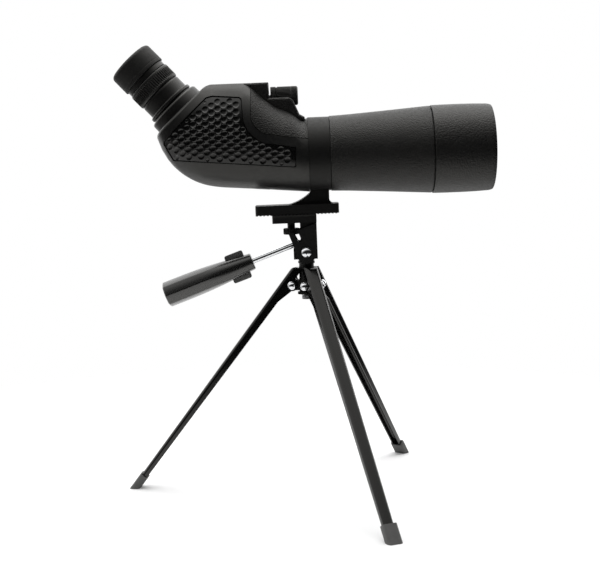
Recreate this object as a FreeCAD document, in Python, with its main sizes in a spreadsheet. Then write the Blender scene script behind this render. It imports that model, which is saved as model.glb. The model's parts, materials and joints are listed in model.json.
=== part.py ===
import FreeCAD, Part
import math
import os
import Sketcher
from FreeCAD import Placement, Rotation, Vector

# Angled zoom spotting scope with a sunshade, on a folding table-top tripod with a pan handle.
#
# Millimetres. +Z is up and +X is roughly where the scope looks. The origin is on the floor under
# the middle of the object's box. Sub-parts are drawn in the frame that suits them and then placed:
#   tripod frame   Z up along the pan axis, feet on Z = 0
#   pan frame      the tripod frame turned about Z by the pan angle
#   head frame     origin on the tilt screw, X along the scope's axis, Z across it
#   scope frame    the head frame raised to the optical axis
#   eye frame      origin where the eyepiece meets the housing, X out of the eyepiece
#   handle frame   origin where the rod enters its bracket, X along the rod to the rear
#   leg frame      origin on the leg's pivot bolt, X down the leg, Z outwards

doc = FreeCAD.newDocument("SpottingScope")

DIMENSIONS = {
    # where things stand
    "tripod_x": (-0.24, "pan axis, from the middle of the object's box"),
    "pan_angle": (6.27, "scope turned about the pan axis"),
    "tilt_angle": (1.53, "scope nose up"),
    "tilt_height": (207.0, "tilt screw above the floor"),
    "optical_height": (81.0, "optical axis above the tilt screw"),
    "gap": (0.4, "clear space between a moving curved face and its neighbour"),
    "fit": (0.06, "radial clearance of a pin or thread in its hole"),
    # objective end, along the scope frame's X
    "collar_back": (5.2, "back of the mounting collar"),
    "barrel_back": (22.8, "back of the armoured barrel"),
    "seam_front": (107.2, "front of the armoured barrel"),
    "hood_front": (157.2, "front of the sunshade"),
    "sleeve_front": (150.0, "front of the sleeve the sunshade slides on"),
    "barrel_back_radius": (31.0, "barrel at the collar"),
    "barrel_mid_radius": (33.7, "barrel half way along"),
    "barrel_front_radius": (36.1, "barrel at the seam"),
    "sleeve_radius": (33.6, "sleeve outside"),
    "sleeve_bore": (31.6, "sleeve inside"),
    "hood_radius": (36.55, "sunshade outside"),
    "hood_rim_radius": (35.8, "sunshade outside, at its front"),
    "collar_radius": (30.6, "mounting collar outside"),
    "spigot_radius": (27.3, "barrel's rear spigot outside"),
    "spigot_bore": (25.4, "barrel's rear spigot inside"),
    "lens_radius": (30.0, "objective lenses, 60 mm across"),
    "cell_back": (130.0, "back of the objective cell"),
    # rear housing
    "housing_front": (5.0, "housing's front face"),
    "housing_top": (141.2, "housing's flat top"),
    "cavity_half_width": (17.5, "half of the prism space's width"),
    "rim_round": (2.6, "round of the edge round the eyepiece face"),
    "ridge_half_width": (12.0, "half of the focus knob's cradle"),
    "seam_gap": (0.4, "joint between the housing and the saddle cover"),
    "panel_depth": (1.8, "pocket for a grip panel"),
    "panel_thick": (1.0, "grip panel"),
    "panel_groove": (0.8, "groove round a grip panel"),
    # focus drive
    "focus_height": (129.9, "focus knob's axis above the tilt screw"),
    "knob_back": (-24.4, "back of the focus knob"),
    "knob_front": (-7.6, "front of the focus knob's grip"),
    "knob_tip": (-1.7, "front of the focus knob's end cap"),
    "knob_radius": (7.85, "focus knob"),
    "focus_screw_radius": (2.0, "focus lead screw"),
    # eyepiece
    "eye_slope": (47.5, "eyepiece axis above the scope's"),
    "eye_back": (99.6, "eyepiece seat behind the tilt screw"),
    "eye_up": (119.2, "eyepiece seat above the tilt screw"),
    "eye_tube_radius": (17.3, "eyepiece's inner barrel outside"),
    "eye_tube_bore": (15.0, "eyepiece's inner barrel inside"),
    "eye_collar_radius": (23.9, "eyepiece's seat collar"),
    "eye_collar_front": (8.8, "front of the seat collar"),
    "eye_flange_radius": (21.1, "thin flange"),
    "eye_body_radius": (19.2, "smooth body"),
    "zoom_ring_back": (24.6, "back of the zoom ring"),
    "zoom_ring_front": (37.4, "front of the zoom ring"),
    "zoom_ring_radius": (19.9, "zoom ring"),
    "eyecup_back": (42.1, "back of the eyecup"),
    "eyecup_front": (59.8, "front of the eyecup"),
    "eyecup_radius": (20.4, "eyecup"),
    # tripod head
    "platform_low": (24.8, "underside of the platform"),
    "platform_high": (30.0, "top of the platform"),
    "foot_low": (31.5, "underside of the scope's mounting foot"),
    "foot_high": (39.8, "top of the mounting foot"),
    "foot_half_width": (12.5, "half of the mounting foot's width"),
    "screw_back": (-11.8, "mounting screw's axis along the scope"),
    "mount_screw_radius": (3.175, "quarter-inch camera screw"),
    "wheel_radius": (6.8, "thumbwheel"),
    "wheel_low": (14.8, "underside of the thumbwheel"),
    "wheel_high": (20.0, "top of the thumbwheel"),
    "lug_half_width": (8.4, "half of the pan head's lug"),
    "lug_radius": (5.4, "round of the lug about the tilt screw"),
    "bracket_inner": (8.9, "inside of the inner bracket's cheeks"),
    "sheet": (1.5, "bracket sheet"),
    "cheek_radius": (9.0, "round of the outer bracket about the tilt screw"),
    "tilt_screw_radius": (2.5, "tilt screw"),
    # handle
    "handle_slope": (19.2, "handle below the scope's axis"),
    "handle_back": (10.8, "rod's entry behind the tilt screw"),
    "handle_up": (5.5, "rod's entry above the tilt screw"),
    "rod_radius": (2.4, "handle rod"),
    "grip_start": (36.3, "front of the handle's grip"),
    "grip_end": (115.5, "rear of the handle's grip"),
    "grip_front_radius": (7.0, "grip at its front"),
    "grip_rear_radius": (10.75, "grip at its rear"),
    "wing_half_span": (12.3, "half span of the grip's wings"),
    # legs
    "pin_radius": (11.8, "leg pivots from the pan axis"),
    "pin_height": (178.7, "leg pivots above the floor"),
    "leg_angle": (53.0, "leg below the horizontal"),
    "leg_rise": (15.5, "leg above its pivot"),
    "leg_length": (222.0, "leg below its pivot"),
    "leg_offset": (5.2, "leg's centre line outside its pivot"),
    "leg_width_top": (12.0, "leg's width at the top"),
    "leg_width_low": (8.8, "leg's width at the foot"),
    "leg_depth_top": (8.0, "leg's depth at the top"),
    "leg_depth_low": (5.2, "leg's depth at the foot"),
    "leg_sheet": (1.2, "leg's sheet"),
    "bolt_radius": (2.0, "leg pivot bolt"),
    "bolt_head_radius": (3.6, "leg pivot bolt's domed head"),
    "hub_top": (196.2, "top of the hub"),
    "hub_radius": (6.2, "hub's post"),
    "neck_radius": (7.0, "pan head's disc"),
}

sheet = doc.addObject("Spreadsheet::Sheet", "Sizes")
for row, (alias, (value, meaning)) in enumerate(DIMENSIONS.items(), start=1):
    sheet.set(f"A{row}", meaning)
    sheet.set(f"B{row}", str(value))
    sheet.setAlias(f"B{row}", alias)
doc.recompute()


class Size:
    """A length with its value and the spreadsheet formula it comes from."""

    def __init__(self, value, formula):
        self.value = float(value)
        self.formula = formula

    def join(self, other, sign, swap=False):
        other = other if isinstance(other, Size) else Size(other, repr(float(other)))
        left, right = (other, self) if swap else (self, other)
        results = {
            "+": lambda: left.value + right.value,
            "-": lambda: left.value - right.value,
            "*": lambda: left.value * right.value,
            "/": lambda: left.value / right.value,
        }
        return Size(results[sign](), f"({left.formula} {sign} {right.formula})")

    def __add__(self, other):
        return self.join(other, "+")

    def __radd__(self, other):
        return self.join(other, "+", swap=True)

    def __sub__(self, other):
        return self.join(other, "-")

    def __rsub__(self, other):
        return self.join(other, "-", swap=True)

    def __mul__(self, other):
        return self.join(other, "*")

    def __rmul__(self, other):
        return self.join(other, "*", swap=True)

    def __truediv__(self, other):
        return self.join(other, "/")

    def __neg__(self):
        return 0.0 - self


def size(alias):
    return Size(sheet.get(alias), f"Sizes.{alias}")


def number(value):
    return value.value if isinstance(value, Size) else float(value)


def bind(thing, path, value):
    """Set a property, and tie it to the sheet when the value comes from there."""
    if isinstance(value, Size):
        thing.setExpression(path, value.formula)
    elif path.startswith("Constraints"):
        pass
    elif path.startswith("Placement.Base."):
        setattr(thing.Placement.Base, path[-1], float(value))
    else:
        setattr(thing, path, float(value))


parts = []


def keep(thing, label, place=None):
    """Name a finished sub-part and put it in its place."""
    thing.Label = label
    if place is not None:
        thing.Placement = place
    parts.append(thing)
    return thing


# --- frames ---------------------------------------------------------------------------------------

X_AXIS = Vector(1, 0, 0)
Y_AXIS = Vector(0, 1, 0)
Z_AXIS = Vector(0, 0, 1)


def moved(x=0.0, y=0.0, z=0.0):
    return Placement(Vector(number(x), number(y), number(z)), Rotation())


def turned_by(axis, degrees):
    return Placement(Vector(), Rotation(axis, degrees))


tripod_frame = moved(size("tripod_x"))
pan_frame = tripod_frame * turned_by(Z_AXIS, sheet.get("pan_angle"))
head_frame = pan_frame * moved(z=size("tilt_height")) * turned_by(Y_AXIS, -sheet.get("tilt_angle"))
scope_frame = head_frame * moved(z=size("optical_height"))
eye_frame = (
    head_frame
    * moved(-size("eye_back"), 0, size("eye_up"))
    * turned_by(Y_AXIS, sheet.get("eye_slope") - 180)
)
handle_frame = (
    head_frame
    * moved(-size("handle_back"), 0, size("handle_up"))
    * turned_by(Y_AXIS, 180 - sheet.get("handle_slope"))
)
leg_frame = moved(size("pin_radius"), 0, size("pin_height")) * turned_by(
    Y_AXIS, sheet.get("leg_angle")
)
LEG_AZIMUTHS = {"rear": 180, "right": -60, "left": 60}


# --- drawing helpers ------------------------------------------------------------------------------


def plane_of(body, role):
    return [item for item in body.Origin.OriginFeatures if item.Role == role][0]


def new_sketch(body, name, role):
    sketch = body.newObject("Sketcher::SketchObject", name)
    sketch.AttachmentSupport = [(plane_of(body, role), "")]
    sketch.MapMode = "FlatFace"
    return sketch


def arc_between(start, end, radius):
    """Arc through two points; a positive radius turns left on the way, a negative one right."""
    chord = end - start
    middle = (start + end) * 0.5
    side = Vector(-chord.y, chord.x, 0)
    side.normalize()
    reach = math.sqrt(max(radius * radius - chord.Length * chord.Length / 4, 0.0))
    centre = middle + side * math.copysign(reach, radius)
    first, last = (start, end) if radius > 0 else (end, start)
    low = math.atan2(first.y - centre.y, first.x - centre.x)
    high = math.atan2(last.y - centre.y, last.x - centre.x)
    high += 2 * math.pi if high < low else 0
    circle = Part.Circle(centre, Z_AXIS, abs(radius))
    return Part.ArcOfCircle(circle, low, high)


def draw_outline(sketch, corners):
    """Closed outline; a corner is (x, y), or (x, y, radius) when an arc leads to it."""
    ends = []
    for index, corner in enumerate(corners):
        before = corners[index - 1]
        start = Vector(number(before[0]), number(before[1]), 0)
        end = Vector(number(corner[0]), number(corner[1]), 0)
        if len(corner) == 2:
            sketch.addGeometry(Part.LineSegment(start, end), False)
            ends.append((1, 2))
        else:
            sketch.addGeometry(arc_between(start, end, number(corner[2])), False)
            ends.append((1, 2) if number(corner[2]) > 0 else (2, 1))
    for index, corner in enumerate(corners):
        after = (index + 1) % len(corners)
        sketch.addConstraint(
            Sketcher.Constraint("Coincident", index, ends[index][1], after, ends[after][0])
        )
    for index, corner in enumerate(corners):
        tip = ends[index][1]
        for kind, value in (("DistanceX", corner[0]), ("DistanceY", corner[1])):
            rule = Sketcher.Constraint(kind, -1, 1, index, tip, number(value))
            bind(sketch, f"Constraints[{sketch.addConstraint(rule)}]", value)
        if len(corner) == 3:
            rule = Sketcher.Constraint("Radius", index, abs(number(corner[2])))
            place = sketch.addConstraint(rule)
            if isinstance(corner[2], Size):
                radius = corner[2] if number(corner[2]) > 0 else -corner[2]
                bind(sketch, f"Constraints[{place}]", radius)


def turned(profile):
    """Body turned about X from a closed profile of (x, radius) corners."""
    body = doc.addObject("PartDesign::Body", "Turned")
    sketch = new_sketch(body, "Profile", "XZ_Plane")
    draw_outline(sketch, profile)
    turning = body.newObject("PartDesign::Revolution", "Turning")
    turning.Profile = sketch
    turning.ReferenceAxis = (sketch, ["H_Axis"])
    turning.Angle = 360
    return body


def slab(outline, thickness, role="XZ_Plane"):
    """Body padded equally to both sides of a plane."""
    body = doc.addObject("PartDesign::Body", "Slab")
    sketch = new_sketch(body, "Outline", role)
    draw_outline(sketch, outline)
    pad = body.newObject("PartDesign::Pad", "Pad")
    pad.Profile = sketch
    pad.SideType = "Symmetric"
    bind(pad, "Length", thickness)
    return body


def soften(body, radius, wanted):
    """Round the edges of a body's last feature that the test picks."""
    doc.recompute()
    base = body.Tip
    names = [f"Edge{n}" for n, edge in enumerate(base.Shape.Edges, start=1) if wanted(edge)]
    rounding = body.newObject("PartDesign::Fillet", "Round")
    rounding.Base = (base, names)
    bind(rounding, "Radius", radius)
    return body


def block(x_span, y_span, z_span):
    """Box from three (low, high) spans."""
    box = doc.addObject("Part::Box", "Block")
    for side, axis, (low, high) in zip(("Length", "Width", "Height"), "xyz", (x_span, y_span, z_span)):
        bind(box, side, high - low)
        bind(box, f"Placement.Base.{axis}", low)
    return box


def rod(axis, radius, span, across=(0.0, 0.0)):
    """Cylinder along an axis; across gives its centre on the other two axes, in order."""
    cylinder = doc.addObject("Part::Cylinder", "Rod")
    turns = {"x": (Y_AXIS, 90), "y": (X_AXIS, -90), "z": (Z_AXIS, 0)}
    cylinder.Placement.Rotation = Rotation(*turns[axis])
    bind(cylinder, "Radius", radius)
    bind(cylinder, "Height", span[1] - span[0])
    bind(cylinder, f"Placement.Base.{axis}", span[0])
    for other, value in zip([name for name in "xyz" if name != axis], across):
        bind(cylinder, f"Placement.Base.{other}", value)
    return cylinder


def fused(*shapes):
    union = doc.addObject("Part::MultiFuse", "Union")
    union.Shapes = list(shapes)
    return union


def cut(base, *tools):
    difference = doc.addObject("Part::Cut", "Difference")
    difference.Base = base
    difference.Tool = tools[0] if len(tools) == 1 else fused(*tools)
    return difference


def cut_in_turn(base, tools):
    """Cut with one tool after another, for tools that meet each other's curved faces."""
    for tool in tools:
        base = cut(base, tool)
    return base


def common(*shapes):
    overlap = doc.addObject("Part::MultiCommon", "Overlap")
    overlap.Shapes = list(shapes)
    return overlap


def placed(shape, place):
    shape.Placement = place
    return shape


def ring(back, front, outer, inner):
    """Plain ring about X."""
    return turned([(back, inner), (front, inner), (front, outer), (back, outer)])


def on_side(value):
    """True for edges that lie in the plane at the given distance to either side."""

    def test(edge):
        box = edge.BoundBox
        return box.YLength < 0.01 and abs(abs(box.YMin) - number(value)) < 0.01

    return test


def upright(edge):
    """True for edges that run along Z."""
    return edge.BoundBox.ZLength > 0.5 and edge.BoundBox.XLength + edge.BoundBox.YLength < 0.01


def circle_at(x, radius):
    """True for the full circle about X at a station and radius."""

    def test(edge):
        box = edge.BoundBox
        return (
            box.XLength < 0.01
            and abs(box.XMin - number(x)) < 0.01
            and abs(box.YMax - number(radius)) < 0.01
        )

    return test


# --- objective end --------------------------------------------------------------------------------


def make_main_barrel():
    """Armoured barrel with a rear spigot and the front sleeve for the sunshade."""
    seam = size("seam_front")
    back = size("barrel_back")
    half = (back + seam) / 2
    body = turned(
        [
            (-4.0, size("spigot_bore")),
            (back + 4, size("spigot_bore")),
            (half, size("barrel_mid_radius") - 2.6),
            (seam - 4, size("sleeve_bore")),
            (size("sleeve_front"), size("sleeve_bore")),
            (size("sleeve_front"), size("sleeve_radius")),
            (seam, size("sleeve_radius")),
            (seam, size("barrel_front_radius") - 0.5),
            (seam - 0.5, size("barrel_front_radius")),
            (half, size("barrel_mid_radius"), 1300),
            (back, size("barrel_back_radius"), 1300),
            (back, size("spigot_radius")),
            (-4.0, size("spigot_radius")),
        ]
    )
    keep(body, "main_barrel", scope_frame)


def make_sunshade():
    """Sliding sunshade with a rounded front rim."""
    seam = size("seam_front") + 0.3
    front = size("hood_front")
    bore = size("sleeve_radius") + size("gap")
    body = turned(
        [
            (seam, bore),
            (front, bore),
            (front, size("hood_rim_radius")),
            (seam + 24, size("hood_radius") + 0.1, 900),
            (seam + 0.5, size("hood_radius"), 900),
            (seam, size("hood_radius") - 0.5),
        ]
    )
    soften(body, 1.2, circle_at(front, size("hood_rim_radius")))
    keep(body, "sunshade_hood", scope_frame)


def dome(radius, height):
    """Radius of the sphere whose cap has the given rim radius and height; it takes the height's sign."""
    return (radius * radius + height * height) / (2 * height)


def lens(back_edge, front_edge, radius, back_sag, front_sag):
    """Lens from its edge stations; a positive sag bulges outwards."""
    return turned(
        [
            (back_edge - back_sag, 0.0, dome(radius, back_sag)),
            (front_edge + front_sag, 0.0),
            (front_edge, radius, dome(radius, front_sag)),
            (back_edge, radius),
        ]
    )


def make_objective():
    """Cemented-style doublet in a threaded cell, held by a retaining ring."""
    back = size("cell_back")
    bore = size("lens_radius")
    cell = turned(
        [
            (back, bore - 1.5),
            (back + 2, bore - 1.5),
            (back + 2, bore),
            (size("sleeve_front") - 1, bore),
            (size("sleeve_front") - 1, size("sleeve_bore")),
            (back, size("sleeve_bore")),
        ]
    )
    keep(cell, "objective_cell", scope_frame)
    keep(lens(back + 2, back + 7, bore, -0.8, -2.5), "objective_flint_lens", scope_frame)
    keep(ring(back + 7, back + 7.8, bore, bore - 1), "objective_spacer_ring", scope_frame)
    keep(lens(back + 8, back + 14, bore, 2.5, 4.0), "objective_crown_lens", scope_frame)
    keep(ring(back + 14.4, back + 17, bore, bore - 1.4), "objective_retaining_ring", scope_frame)


def make_baffle():
    """Stray-light baffle, a thin cone inside the barrel."""
    body = turned([(60.0, 24.0), (61.0, 24.0), (66.0, 30.2), (65.0, 30.2)])
    keep(body, "barrel_baffle", scope_frame)


def make_mounting_collar():
    """Cast collar round the barrel's spigot, with a web and a ribbed foot."""
    high = size("foot_high")
    low = size("foot_low")
    foot = slab([(-41.0, low), (28.6, low), (28.6, high), (-41.0, high)], size("foot_half_width") * 2)
    soften(foot, 3.0, upright)
    grooves = [
        block((-39.0 + 3 * step, -37.6 + 3 * step), (-14.0, 14.0), (low - 1, low + 0.5))
        for step in range(23)
    ]
    web = slab(
        [
            (-13.4, high - 0.5),
            (25.0, high - 0.5),
            (24.2, high),
            (20.9, 44.8, -4.5),
            (20.9, 53.0),
            (5.4, 53.0),
            (5.1, 49.3),
            (-13.4, high, -40.0),
        ],
        18.0,
    )
    front = size("barrel_back") - 0.1
    collar = ring(size("collar_back"), front, size("collar_radius"), size("spigot_radius"))
    collar.Placement = moved(z=size("optical_height"))
    casting = fused(foot, web, collar)
    spigot_clear = rod("x", size("spigot_radius"), (4.0, 24.0), (0.0, size("optical_height")))
    insert_hole = rod("z", 4.5, (low - 1, low + 7), (size("screw_back"), 0.0))
    keep(cut(casting, spigot_clear, insert_hole, *grooves), "mounting_collar", head_frame)


def make_thread_insert():
    """Threaded brass insert for the camera screw."""
    low = size("foot_low")
    across = (size("screw_back"), 0.0)
    outer = rod("z", 4.5, (low + 0.5, low + 7), across)
    bore = rod("z", size("mount_screw_radius") + size("fit"), (low - 1, low + 8), across)
    keep(cut(outer, bore), "thread_insert", head_frame)


# --- rear housing ---------------------------------------------------------------------------------


# (station, top, bottom, half width) of the housing's oval sections, in the head frame
HOUSING_SECTIONS = [
    (6.0, 111.7, 49.8, 30.9),
    (-6.0, 116.0, 50.9, 31.7),
    (-18.0, 121.8, 52.0, 32.0),
    (-33.0, 133.6, 53.3, 32.2),
    (-42.0, 141.5, 54.1, 32.2),
    (-55.0, 144.5, 55.3, 32.2),
    (-72.0, 144.5, 57.0, 32.2),
    (-85.4, 144.5, 60.3, 32.0),
    (-95.5, 144.5, 65.3, 31.6),
    (-104.4, 144.5, 72.2, 31.0),
    (-111.7, 144.5, 80.9, 30.0),
    (-116.2, 144.5, 89.1, 27.6),
    (-119.1, 144.5, 97.1, 23.6),
    (-120.5, 144.5, 104.5, 19.9),
]


def oval_shell(inset):
    """Smooth body through the oval sections, each made smaller by the inset."""
    ovals = []
    for station, top, bottom, half_width in HOUSING_SECTIONS:
        oval = doc.addObject("Part::Ellipse", "Oval")
        bind(oval, "MajorRadius", (top - bottom) / 2 - inset)
        bind(oval, "MinorRadius", half_width - inset)
        middle = Vector(station, 0, (top + bottom) / 2)
        oval.Placement = Placement(middle, Rotation(Y_AXIS, -90))
        ovals.append(oval)
    shell = doc.addObject("Part::Loft", "Shell")
    shell.Sections = ovals
    shell.Solid = True
    return shell


def make_housing_blank():
    """Outer form of the housing and its cover, before they are parted and hollowed."""
    top = size("housing_top")
    side_view = slab(
        [
            (size("housing_front"), 40.0),
            (size("housing_front"), top),
            (-73.0, top),
            (-80.6, top - 4.1, 13.0),
            (-130.0, 91.0),
            (-130.0, 40.0),
        ],
        80.0,
    )
    shell = common(side_view, oval_shell(0.0))
    doc.recompute()
    rounding = doc.addObject("Part::Fillet", "RimRound")
    rounding.Base = shell
    rim = number(size("rim_round"))
    rounding.Edges = [
        (index, rim, rim) for index, edge in enumerate(shell.Shape.Edges, start=1) if behind_saddle(edge)
    ]
    ridge = slab(
        [
            (3.5, 108.0),
            (3.0, 112.0),
            (-1.0, 114.2),
            (-5.6, 125.2),
            (-10.6, 128.4, 5.4),
            (-25.6, 128.4),
            (-25.9, top),
            (-46.0, top),
            (-46.0, 108.0),
        ],
        size("ridge_half_width") * 2,
    )
    soften(ridge, 2.0, on_side(size("ridge_half_width")))
    return fused(rounding, ridge)


def behind_saddle(edge):
    """True for the curved edges behind the saddle cover, round the top and the eyepiece face."""
    return edge.BoundBox.XMax < -41.0 and edge.BoundBox.XLength > 1.0


def make_cavity():
    """Space for the prism, the focus drive and the light path."""
    space = slab(
        [
            (-8.0, 60.0),
            (-8.0, 107.0),
            (-20.0, 112.0),
            (-33.0, 124.0),
            (-36.8, 131.0),
            (-80.5, 131.0),
            (-114.0, 100.6),
            (-112.0, 92.0),
            (-103.0, 80.5),
            (-88.0, 71.5),
            (-80.0, 68.9),
            (-70.0, 65.6),
        ],
        size("cavity_half_width") * 2,
    )
    axis = (0.0, size("optical_height"))
    light_way = rod("x", size("spigot_bore"), (-9.0, 6.0), axis)
    spigot_seat = rod("x", size("spigot_radius"), (-4.0, 6.0), axis)
    screw_way = rod("x", 4.5, (-38.0, -25.0), (0.0, size("focus_height")))
    attic = block((-80.0, -34.0), (-10.0, 10.0), (128.0, 137.5))
    return [space, attic, light_way, spigot_seat, screw_way]


def saddle_region(shift):
    """Area of the side view covered by the saddle cover."""
    return slab(
        [
            (7.0, 93.2 + shift),
            (7.0, 150.0),
            (-40.2 + shift, 150.0),
            (-41.0 + shift, 113.0),
            (-26.7 + shift * 0.5, 98.3 + shift, 17.0),
        ],
        80.0,
    )


PANEL_CORNERS = [
    (-105.6, 80.5),
    (-7.0, 71.3),
    (-5.8, 72.4),
    (-5.8, 87.6),
    (-31.0, 91.8),
    (-47.0, 111.0, -26.0),
    (-47.9, 127.4),
    (-49.6, 129.0),
    (-71.5, 130.9),
    (-76.3, 129.7),
    (-111.9, 95.9),
    (-112.2, 93.9),
]


def panel_outline(grow):
    """Grip panel's outline, grown outwards from its middle by about a groove's width."""
    middle = (-62.0, 97.0)
    outline = []
    for corner in PANEL_CORNERS:
        reach = math.hypot(corner[0] - middle[0], corner[1] - middle[1])
        scale = (reach + grow) / reach
        moved_to = [middle[i] + (corner[i] - middle[i]) * scale for i in (0, 1)]
        outline.append(tuple(moved_to + list(corner[2:])))
    return outline


def make_housing():
    """Housing, saddle cover and the two dimpled grip panels."""
    blank = make_housing_blank()
    cavity = make_cavity()
    seat = doc.addObject("Part::Cylinder", "SeatBore")
    bind(seat, "Radius", 20.0)
    bind(seat, "Height", 16.0)
    seat.Placement = eye_in_head() * Placement(Vector(-14, 0, 0), Rotation(Y_AXIS, 90))
    collar_seat = doc.addObject("Part::Cylinder", "CollarSeat")
    bind(collar_seat, "Radius", size("eye_collar_radius"))
    bind(collar_seat, "Height", 4.0)
    collar_seat.Placement = eye_in_head() * Placement(Vector(-1, 0, 0), Rotation(Y_AXIS, 90))
    pocket_floor = oval_shell(size("panel_depth"))
    panel_face = oval_shell(size("panel_depth") - size("panel_thick"))
    pockets = []
    for side in (-1, 1):
        pocket = slab(panel_outline(number(size("panel_groove"))), 30.0)
        pocket.Placement = moved(y=30 * side)
        pockets.append(cut(pocket, pocket_floor))
    housing = cut_in_turn(blank, [*cavity, seat, collar_seat, saddle_region(0.0), *pockets])
    keep(housing, "rear_housing", head_frame)

    cradle = rod("x", size("knob_radius") + 0.9, (-25.8, 8.0), (0.0, size("focus_height")))
    cover = common(blank, saddle_region(number(size("seam_gap"))))
    keep(cut_in_turn(cover, [*cavity, cradle]), "saddle_cover", head_frame)

    for side, name in ((-1, "grip_panel_right"), (1, "grip_panel_left")):
        area = slab(panel_outline(0.0), 30.0)
        area.Placement = moved(y=30 * side)
        keep(cut(common(area, panel_face), pocket_floor), name, head_frame)


def eye_in_head():
    """Eyepiece frame as seen from the head frame."""
    return head_frame.inverse() * eye_frame


def make_prism():
    """Roof prism block and the bracket that holds it."""
    prism = slab([(-60.0, 72.0), (-60.0, 100.0), (-68.0, 112.0), (-98.0, 88.0), (-84.0, 72.0)], 30.0)
    keep(prism, "prism", head_frame)
    floor = block((-80.0, -59.0), (-17.0, 17.0), (69.0, 72.0))
    walls = [block((-84.0, -60.0), (min(a, b), max(a, b)), (72.0, 92.0)) for a, b in ((-17, -15), (15, 17))]
    keep(fused(floor, *walls), "prism_holder", head_frame)


# --- focus drive ----------------------------------------------------------------------------------


def make_focus_drive():
    """Knurled knob on a lead screw that moves the focusing lens along the axis."""
    radius = size("knob_radius")
    back = size("knob_back")
    front = size("knob_front")
    bore = size("focus_screw_radius")
    drive_frame = head_frame * moved(z=size("focus_height"))
    knob = turned(
        [
            (back, bore),
            (front, bore),
            (front, radius - 0.5),
            (front - 0.6, radius),
            (back + 5.2, radius),
            (back + 4.9, radius - 0.6),
            (back + 4.5, radius - 0.6),
            (back + 4.2, radius),
            (back + 0.6, radius),
            (back, radius - 0.6),
        ]
    )
    notch_along(knob, notch_shape(radius, 0.45, 0.7), back + 6, front - 1, 36)
    keep(knob, "focus_knob", drive_frame)
    cap = turned(
        [
            (front + 0.2, bore),
            (size("knob_tip"), bore),
            (size("knob_tip"), radius - 1.0),
            (size("knob_tip") - 1, radius),
            (front + 0.6, radius),
            (front + 0.2, radius - 0.4),
        ]
    )
    keep(cap, "focus_end_cap", drive_frame)
    screw = turned([(-60.0, 0.0), (size("knob_tip"), 0.0), (size("knob_tip"), bore), (-60.0, bore)])
    keep(screw, "focus_lead_screw", drive_frame)
    bushing = ring(-37.4, -26.4, 4.5, bore + size("fit"))
    keep(bushing, "focus_bushing", drive_frame)


def make_focus_carriage():
    """Carriage with the lead screw's nut above and the focusing lens below."""
    low, high = -52.0, -44.0
    axis = (0.0, size("optical_height"))
    drive = (0.0, size("focus_height"))
    cell = rod("x", 15.8, (low, high), axis)
    arm = block((low, high), (-3.0, 3.0), (95.5, 127.0))
    nut = rod("x", 5.0, (low, high), drive)
    bore = rod("x", 14.0, (low - 1, high + 1), axis)
    screw_hole = rod("x", size("focus_screw_radius") + size("fit"), (low - 1, high + 1), drive)
    keep(cut(fused(cell, arm, nut), bore, screw_hole), "focus_carriage", head_frame)
    keep(lens(low + 3, high - 3, 14.0, -0.6, 0.9), "focus_lens", scope_frame)


# --- eyepiece -------------------------------------------------------------------------------------


def make_eyepiece_barrel():
    """Seat collar, body and guide tube, all about the eyepiece axis."""
    tube = size("eye_tube_radius")
    bore = size("eye_tube_bore")
    seat = size("eye_collar_radius")
    front = size("eye_collar_front")
    collar = turned(
        [
            (-5.0, tube),
            (front, tube),
            (front, seat - 1.2),
            (front - 0.8, seat - 0.2),
            (-1.0, seat),
            (-1.0, 20.0),
            (-5.0, 20.0),
        ]
    )
    keep(collar, "eyepiece_collar", eye_frame)
    body_radius = size("eye_body_radius")
    flange = size("eye_flange_radius")
    body = turned(
        [
            (-10.0, bore),
            (37.6, bore),
            (37.6, tube),
            (23.6, tube),
            (23.6, body_radius - 0.4),
            (23.2, body_radius),
            (13.0, body_radius),
            (13.0, flange - 0.4),
            (12.6, flange),
            (10.4, flange),
            (10.0, flange - 0.4),
            (10.0, 18.6),
            (front, 18.6),
            (front, tube),
            (-10.0, tube),
        ]
    )
    keep(body, "eyepiece_body", eye_frame)
    guide = turned(
        [
            (37.6, bore),
            (55.0, bore),
            (55.0, 16.9),
            (41.6, 16.9),
            (41.6, 19.0),
            (38.0, 19.0),
            (38.0, tube),
            (37.6, tube),
        ]
    )
    keep(guide, "eyepiece_guide_tube", eye_frame)
    keep(ring(12.0, 13.0, bore, 9.0), "field_stop", eye_frame)


def make_eye_lens():
    """Eye lens in its threaded ring."""
    keep(lens(48.6, 51.4, 13.2, 1.6, 2.2), "eye_lens", eye_frame)
    keep(ring(47.0, 54.6, size("eye_tube_bore"), 13.2), "eye_lens_ring", eye_frame)


def make_zoom_ring():
    """Ribbed zoom ring."""
    back = size("zoom_ring_back")
    front = size("zoom_ring_front")
    radius = size("zoom_ring_radius")
    bore = size("eye_tube_radius") + size("gap")
    body = turned(
        [
            (back, bore),
            (front, bore),
            (front, radius - 0.7),
            (front - 0.7, radius),
            (back + 0.7, radius),
            (back, radius - 0.7),
        ]
    )
    notch_along(body, notch_shape(radius, 0.55, 0.84), back + 1.6, front - 1.6, 72)
    keep(body, "zoom_ring", eye_frame)


def notch_shape(radius, depth, width):
    """Section of a groove cut into a round surface."""
    return [
        (radius - depth, -width / 2),
        (radius + 1, -width / 2),
        (radius + 1, width / 2),
        (radius - depth, width / 2),
    ]


def notch_along(body, corners, low, high, count):
    """Cut a groove along X between two stations, repeated about X."""
    sketch = new_sketch(body, "Groove", "YZ_Plane")
    draw_outline(sketch, corners)
    pocket = body.newObject("PartDesign::Pocket", "GrooveCut")
    pocket.Profile = sketch
    pocket.Type = "Length"
    pocket.Reversed = True
    bind(pocket, "Length", high - low)
    bind(sketch, "AttachmentOffset.Base.z", low)
    pattern = body.newObject("PartDesign::PolarPattern", "Grooves")
    pattern.Originals = [pocket]
    pattern.Axis = (plane_of(body, "X_Axis"), [""])
    pattern.Angle = 360
    pattern.Occurrences = count
    body.Tip = pattern
    return body


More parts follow.
